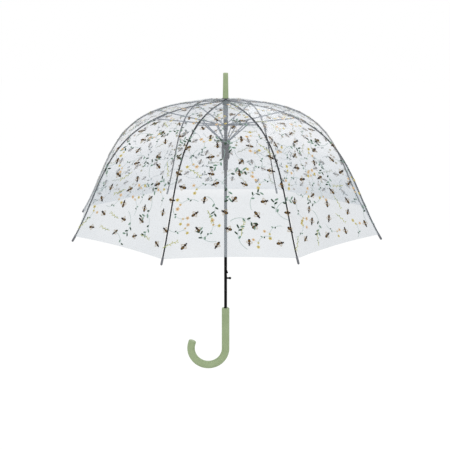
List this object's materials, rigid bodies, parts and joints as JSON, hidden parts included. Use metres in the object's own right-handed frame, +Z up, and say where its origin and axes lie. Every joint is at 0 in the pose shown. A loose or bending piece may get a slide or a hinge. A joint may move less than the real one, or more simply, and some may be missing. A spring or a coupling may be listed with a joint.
{
  "type": "clear bubble umbrella",
  "caption": "Clear domed stick umbrella with folding ribs, two sliding hubs, a sprung runner with push-button catch and a crook handle.",
  "frame": {"origin": "on the shaft axis, halfway up the straight part of the grip, where a hand holds it", "axes": "+Z up the shaft to the ferrule, -X to the side that the crook curls to, +X to the release button"},
  "size_m": [0.7982, 0.7982, 0.807],
  "materials": {
    "clear_film": "clear flexible plastic film, faint lilac-blue tint, printed with bees, sprigs and small flowers",
    "sage_plastic": "sage green moulded plastic, satin",
    "black_plastic": "black moulded nylon",
    "grey_plastic": "grey moulded plastic",
    "black_steel": "black painted steel",
    "fibreglass": "dark glass-fibre rod with grey plastic tip",
    "spring_steel": "bare spring steel"
  },
  "bodies": {
    "frame": {"shaft_tube": "black_steel", "crook_handle": "sage_plastic", "ferrule": "sage_plastic", "canopy_cap": "clear_film", "crown": "black_plastic", "stop_sleeve": "grey_plastic"},
    "runner": {"runner": "black_plastic", "opening_spring": "spring_steel"},
    "upper_hub": {"upper_hub": "black_plastic"},
    "button": {"release_button": "black_plastic"},
    "catch": {"catch_hook": "spring_steel"},
    "rib_0": {"rib_upper_0": "black_steel", "canopy_upper_0": "clear_film"},
    "rod_0": {"rib_lower_0": "fibreglass", "canopy_lower_0": "clear_film"},
    "stretcher_0": {"stretcher_0": "spring_steel"},
    "strut_0": {"strut_0": "spring_steel"},
    "rib_1": {"rib_upper_1": "black_steel", "canopy_upper_1": "clear_film"},
    "rod_1": {"rib_lower_1": "fibreglass", "canopy_lower_1": "clear_film"},
    "stretcher_1": {"stretcher_1": "spring_steel"},
    "strut_1": {"strut_1": "spring_steel"},
    "rib_2": {"rib_upper_2": "black_steel", "canopy_upper_2": "clear_film"},
    "rod_2": {"rib_lower_2": "fibreglass", "canopy_lower_2": "clear_film"},
    "stretcher_2": {"stretcher_2": "spring_steel"},
    "strut_2": {"strut_2": "spring_steel"},
    "rib_3": {"rib_upper_3": "black_steel", "canopy_upper_3": "clear_film"},
    "rod_3": {"rib_lower_3": "fibreglass", "canopy_lower_3": "clear_film"},
    "stretcher_3": {"stretcher_3": "spring_steel"},
    "strut_3": {"strut_3": "spring_steel"},
    "rib_4": {"rib_upper_4": "black_steel", "canopy_upper_4": "clear_film"},
    "rod_4": {"rib_lower_4": "fibreglass", "canopy_lower_4": "clear_film"},
    "stretcher_4": {"stretcher_4": "spring_steel"},
    "strut_4": {"strut_4": "spring_steel"},
    "rib_5": {"rib_upper_5": "black_steel", "canopy_upper_5": "clear_film"},
    "rod_5": {"rib_lower_5": "fibreglass", "canopy_lower_5": "clear_film"},
    "stretcher_5": {"stretcher_5": "spring_steel"},
    "strut_5": {"strut_5": "spring_steel"},
    "rib_6": {"rib_upper_6": "black_steel", "canopy_upper_6": "clear_film"},
    "rod_6": {"rib_lower_6": "fibreglass", "canopy_lower_6": "clear_film"},
    "stretcher_6": {"stretcher_6": "spring_steel"},
    "strut_6": {"strut_6": "spring_steel"},
    "rib_7": {"rib_upper_7": "black_steel", "canopy_upper_7": "clear_film"},
    "rod_7": {"rib_lower_7": "fibreglass", "canopy_lower_7": "clear_film"},
    "stretcher_7": {"stretcher_7": "spring_steel"},
    "strut_7": {"strut_7": "spring_steel"}
  },
  "joints": [
    {"name": "runner_slide", "type": "slide", "parent": "frame", "child": "runner", "axis": [0, 0, 1], "range_m": [-0.28511, 0], "stiffness_N_per_m": 100, "springref_m": 0.1, "deforming": ["opening_spring", "canopy_upper_0", "canopy_upper_1", "canopy_upper_2", "canopy_upper_3", "canopy_upper_4", "canopy_upper_5", "canopy_upper_6", "canopy_upper_7", "canopy_lower_0", "canopy_lower_1", "canopy_lower_2", "canopy_lower_3", "canopy_lower_4", "canopy_lower_5", "canopy_lower_6", "canopy_lower_7"]},
    {"name": "hub_slide", "type": "slide", "parent": "frame", "child": "upper_hub", "axis": [0, 0, 1], "range_m": [-0.3107, 0]},
    {"name": "button_press", "type": "slide", "parent": "frame", "child": "button", "axis": [-1, 0, 0], "range_m": [0, 0.003], "stiffness_N_per_m": 600, "springref_m": -0.002},
    {"name": "catch_release", "type": "slide", "parent": "frame", "child": "catch", "axis": [-1, 0, 0], "range_m": [0, 0.003]},
    {"name": "rib_fold_0", "type": "hinge", "parent": "frame", "child": "rib_0", "pos_m": [0.0063, 0.00281, 0.6185], "axis": [-0.4067, 0.9135, 0], "range_deg": [0, 68.05]},
    {"name": "rod_flex_0", "type": "hinge", "parent": "rib_0", "child": "rod_0", "pos_m": [0.1862, 0.0829, 0.58129], "axis": [-0.4067, 0.9135, 0], "range_deg": [-26.53, 0]},
    {"name": "stretcher_fold_0", "type": "hinge", "parent": "upper_hub", "child": "stretcher_0", "pos_m": [0.00539, 0.0024, 0.556], "axis": [-0.4067, 0.9135, 0], "range_deg": [-69.08, 0]},
    {"name": "strut_fold_0", "type": "hinge", "parent": "runner", "child": "strut_0", "pos_m": [0.00868, 0.00386, 0.5145], "axis": [-0.4067, 0.9135, 0], "range_deg": [-41.17, 0]},
    {"name": "rib_fold_1", "type": "hinge", "parent": "frame", "child": "rib_1", "pos_m": [0.00247, 0.00644, 0.6185], "axis": [-0.9336, 0.3584, 0], "range_deg": [0, 68.05]},
    {"name": "rod_flex_1", "type": "hinge", "parent": "rib_1", "child": "rod_1", "pos_m": [0.07304, 0.19028, 0.58129], "axis": [-0.9336, 0.3584, 0], "range_deg": [-26.53, 0]},
    {"name": "stretcher_fold_1", "type": "hinge", "parent": "upper_hub", "child": "stretcher_1", "pos_m": [0.00211, 0.00551, 0.556], "axis": [-0.9336, 0.3584, 0], "range_deg": [-69.08, 0]},
    {"name": "strut_fold_1", "type": "hinge", "parent": "runner", "child": "strut_1", "pos_m": [0.0034, 0.00887, 0.5145], "axis": [-0.9336, 0.3584, 0], "range_deg": [-41.17, 0]},
    {"name": "rib_fold_2", "type": "hinge", "parent": "frame", "child": "rib_2", "pos_m": [-0.00281, 0.0063, 0.6185], "axis": [-0.9135, -0.4067, 0], "range_deg": [0, 68.05]},
    {"name": "rod_flex_2", "type": "hinge", "parent": "rib_2", "child": "rod_2", "pos_m": [-0.0829, 0.1862, 0.58129], "axis": [-0.9135, -0.4067, 0], "range_deg": [-26.53, 0]},
    {"name": "stretcher_fold_2", "type": "hinge", "parent": "upper_hub", "child": "stretcher_2", "pos_m": [-0.0024, 0.00539, 0.556], "axis": [-0.9135, -0.4067, 0], "range_deg": [-69.08, 0]},
    {"name": "strut_fold_2", "type": "hinge", "parent": "runner", "child": "strut_2", "pos_m": [-0.00386, 0.00868, 0.5145], "axis": [-0.9135, -0.4067, 0], "range_deg": [-41.17, 0]},
    {"name": "rib_fold_3", "type": "hinge", "parent": "frame", "child": "rib_3", "pos_m": [-0.00644, 0.00247, 0.6185], "axis": [-0.3584, -0.9336, 0], "range_deg": [0, 68.05]},
    {"name": "rod_flex_3", "type": "hinge", "parent": "rib_3", "child": "rod_3", "pos_m": [-0.19028, 0.07304, 0.58129], "axis": [-0.3584, -0.9336, 0], "range_deg": [-26.53, 0]},
    {"name": "stretcher_fold_3", "type": "hinge", "parent": "upper_hub", "child": "stretcher_3", "pos_m": [-0.00551, 0.00211, 0.556], "axis": [-0.3584, -0.9336, 0], "range_deg": [-69.08, 0]},
    {"name": "strut_fold_3", "type": "hinge", "parent": "runner", "child": "strut_3", "pos_m": [-0.00887, 0.0034, 0.5145], "axis": [-0.3584, -0.9336, 0], "range_deg": [-41.17, 0]},
    {"name": "rib_fold_4", "type": "hinge", "parent": "frame", "child": "rib_4", "pos_m": [-0.0063, -0.00281, 0.6185], "axis": [0.4067, -0.9135, 0], "range_deg": [0, 68.05]},
    {"name": "rod_flex_4", "type": "hinge", "parent": "rib_4", "child": "rod_4", "pos_m": [-0.1862, -0.0829, 0.58129], "axis": [0.4067, -0.9135, 0], "range_deg": [-26.53, 0]},
    {"name": "stretcher_fold_4", "type": "hinge", "parent": "upper_hub", "child": "stretcher_4", "pos_m": [-0.00539, -0.0024, 0.556], "axis": [0.4067, -0.9135, 0], "range_deg": [-69.08, 0]},
    {"name": "strut_fold_4", "type": "hinge", "parent": "runner", "child": "strut_4", "pos_m": [-0.00868, -0.00386, 0.5145], "axis": [0.4067, -0.9135, 0], "range_deg": [-41.17, 0]},
    {"name": "rib_fold_5", "type": "hinge", "parent": "frame", "child": "rib_5", "pos_m": [-0.00247, -0.00644, 0.6185], "axis": [0.9336, -0.3584, 0], "range_deg": [0, 68.05]},
    {"name": "rod_flex_5", "type": "hinge", "parent": "rib_5", "child": "rod_5", "pos_m": [-0.07304, -0.19028, 0.58129], "axis": [0.9336, -0.3584, 0], "range_deg": [-26.53, 0]},
    {"name": "stretcher_fold_5", "type": "hinge", "parent": "upper_hub", "child": "stretcher_5", "pos_m": [-0.00211, -0.00551, 0.556], "axis": [0.9336, -0.3584, 0], "range_deg": [-69.08, 0]},
    {"name": "strut_fold_5", "type": "hinge", "parent": "runner", "child": "strut_5", "pos_m": [-0.0034, -0.00887, 0.5145], "axis": [0.9336, -0.3584, 0], "range_deg": [-41.17, 0]},
    {"name": "rib_fold_6", "type": "hinge", "parent": "frame", "child": "rib_6", "pos_m": [0.00281, -0.0063, 0.6185], "axis": [0.9135, 0.4067, 0], "range_deg": [0, 68.05]},
    {"name": "rod_flex_6", "type": "hinge", "parent": "rib_6", "child": "rod_6", "pos_m": [0.0829, -0.1862, 0.58129], "axis": [0.9135, 0.4067, 0], "range_deg": [-26.53, 0]},
    {"name": "stretcher_fold_6", "type": "hinge", "parent": "upper_hub", "child": "stretcher_6", "pos_m": [0.0024, -0.00539, 0.556], "axis": [0.9135, 0.4067, 0], "range_deg": [-69.08, 0]},
    {"name": "strut_fold_6", "type": "hinge", "parent": "runner", "child": "strut_6", "pos_m": [0.00386, -0.00868, 0.5145], "axis": [0.9135, 0.4067, 0], "range_deg": [-41.17, 0]},
    {"name": "rib_fold_7", "type": "hinge", "parent": "frame", "child": "rib_7", "pos_m": [0.00644, -0.00247, 0.6185], "axis": [0.3584, 0.9336, 0], "range_deg": [0, 68.05]},
    {"name": "rod_flex_7", "type": "hinge", "parent": "rib_7", "child": "rod_7", "pos_m": [0.19028, -0.07304, 0.58129], "axis": [0.3584, 0.9336, 0], "range_deg": [-26.53, 0]},
    {"name": "stretcher_fold_7", "type": "hinge", "parent": "upper_hub", "child": "stretcher_7", "pos_m": [0.00551, -0.00211, 0.556], "axis": [0.3584, 0.9336, 0], "range_deg": [-69.08, 0]},
    {"name": "strut_fold_7", "type": "hinge", "parent": "runner", "child": "strut_7", "pos_m": [0.00887, -0.0034, 0.5145], "axis": [0.3584, 0.9336, 0], "range_deg": [-41.17, 0]}
  ],
  "couplings": [
    {"joint": "hub_slide", "follows": "runner_slide", "ratio": 1.0897},
    {"joint": "catch_release", "follows": "button_press", "ratio": 1},
    {"joint": "rib_fold_0", "follows": "runner_slide", "rad_per_m": -4.1657},
    {"joint": "rod_flex_0", "follows": "runner_slide", "rad_per_m": 1.6235},
    {"joint": "stretcher_fold_0", "follows": "runner_slide", "rad_per_m": 4.2286},
    {"joint": "strut_fold_0", "follows": "runner_slide", "rad_per_m": 2.5197},
    {"joint": "rib_fold_1", "follows": "runner_slide", "rad_per_m": -4.1657},
    {"joint": "rod_flex_1", "follows": "runner_slide", "rad_per_m": 1.6235},
    {"joint": "stretcher_fold_1", "follows": "runner_slide", "rad_per_m": 4.2286},
    {"joint": "strut_fold_1", "follows": "runner_slide", "rad_per_m": 2.5197},
    {"joint": "rib_fold_2", "follows": "runner_slide", "rad_per_m": -4.1657},
    {"joint": "rod_flex_2", "follows": "runner_slide", "rad_per_m": 1.6235},
    {"joint": "stretcher_fold_2", "follows": "runner_slide", "rad_per_m": 4.2286},
    {"joint": "strut_fold_2", "follows": "runner_slide", "rad_per_m": 2.5197},
    {"joint": "rib_fold_3", "follows": "runner_slide", "rad_per_m": -4.1657},
    {"joint": "rod_flex_3", "follows": "runner_slide", "rad_per_m": 1.6235},
    {"joint": "stretcher_fold_3", "follows": "runner_slide", "rad_per_m": 4.2286},
    {"joint": "strut_fold_3", "follows": "runner_slide", "rad_per_m": 2.5197},
    {"joint": "rib_fold_4", "follows": "runner_slide", "rad_per_m": -4.1657},
    {"joint": "rod_flex_4", "follows": "runner_slide", "rad_per_m": 1.6235},
    {"joint": "stretcher_fold_4", "follows": "runner_slide", "rad_per_m": 4.2286},
    {"joint": "strut_fold_4", "follows": "runner_slide", "rad_per_m": 2.5197},
    {"joint": "rib_fold_5", "follows": "runner_slide", "rad_per_m": -4.1657},
    {"joint": "rod_flex_5", "follows": "runner_slide", "rad_per_m": 1.6235},
    {"joint": "stretcher_fold_5", "follows": "runner_slide", "rad_per_m": 4.2286},
    {"joint": "strut_fold_5", "follows": "runner_slide", "rad_per_m": 2.5197},
    {"joint": "rib_fold_6", "follows": "runner_slide", "rad_per_m": -4.1657},
    {"joint": "rod_flex_6", "follows": "runner_slide", "rad_per_m": 1.6235},
    {"joint": "stretcher_fold_6", "follows": "runner_slide", "rad_per_m": 4.2286},
    {"joint": "strut_fold_6", "follows": "runner_slide", "rad_per_m": 2.5197},
    {"joint": "rib_fold_7", "follows": "runner_slide", "rad_per_m": -4.1657},
    {"joint": "rod_flex_7", "follows": "runner_slide", "rad_per_m": 1.6235},
    {"joint": "stretcher_fold_7", "follows": "runner_slide", "rad_per_m": 4.2286},
    {"joint": "strut_fold_7", "follows": "runner_slide", "rad_per_m": 2.5197}
  ]
}
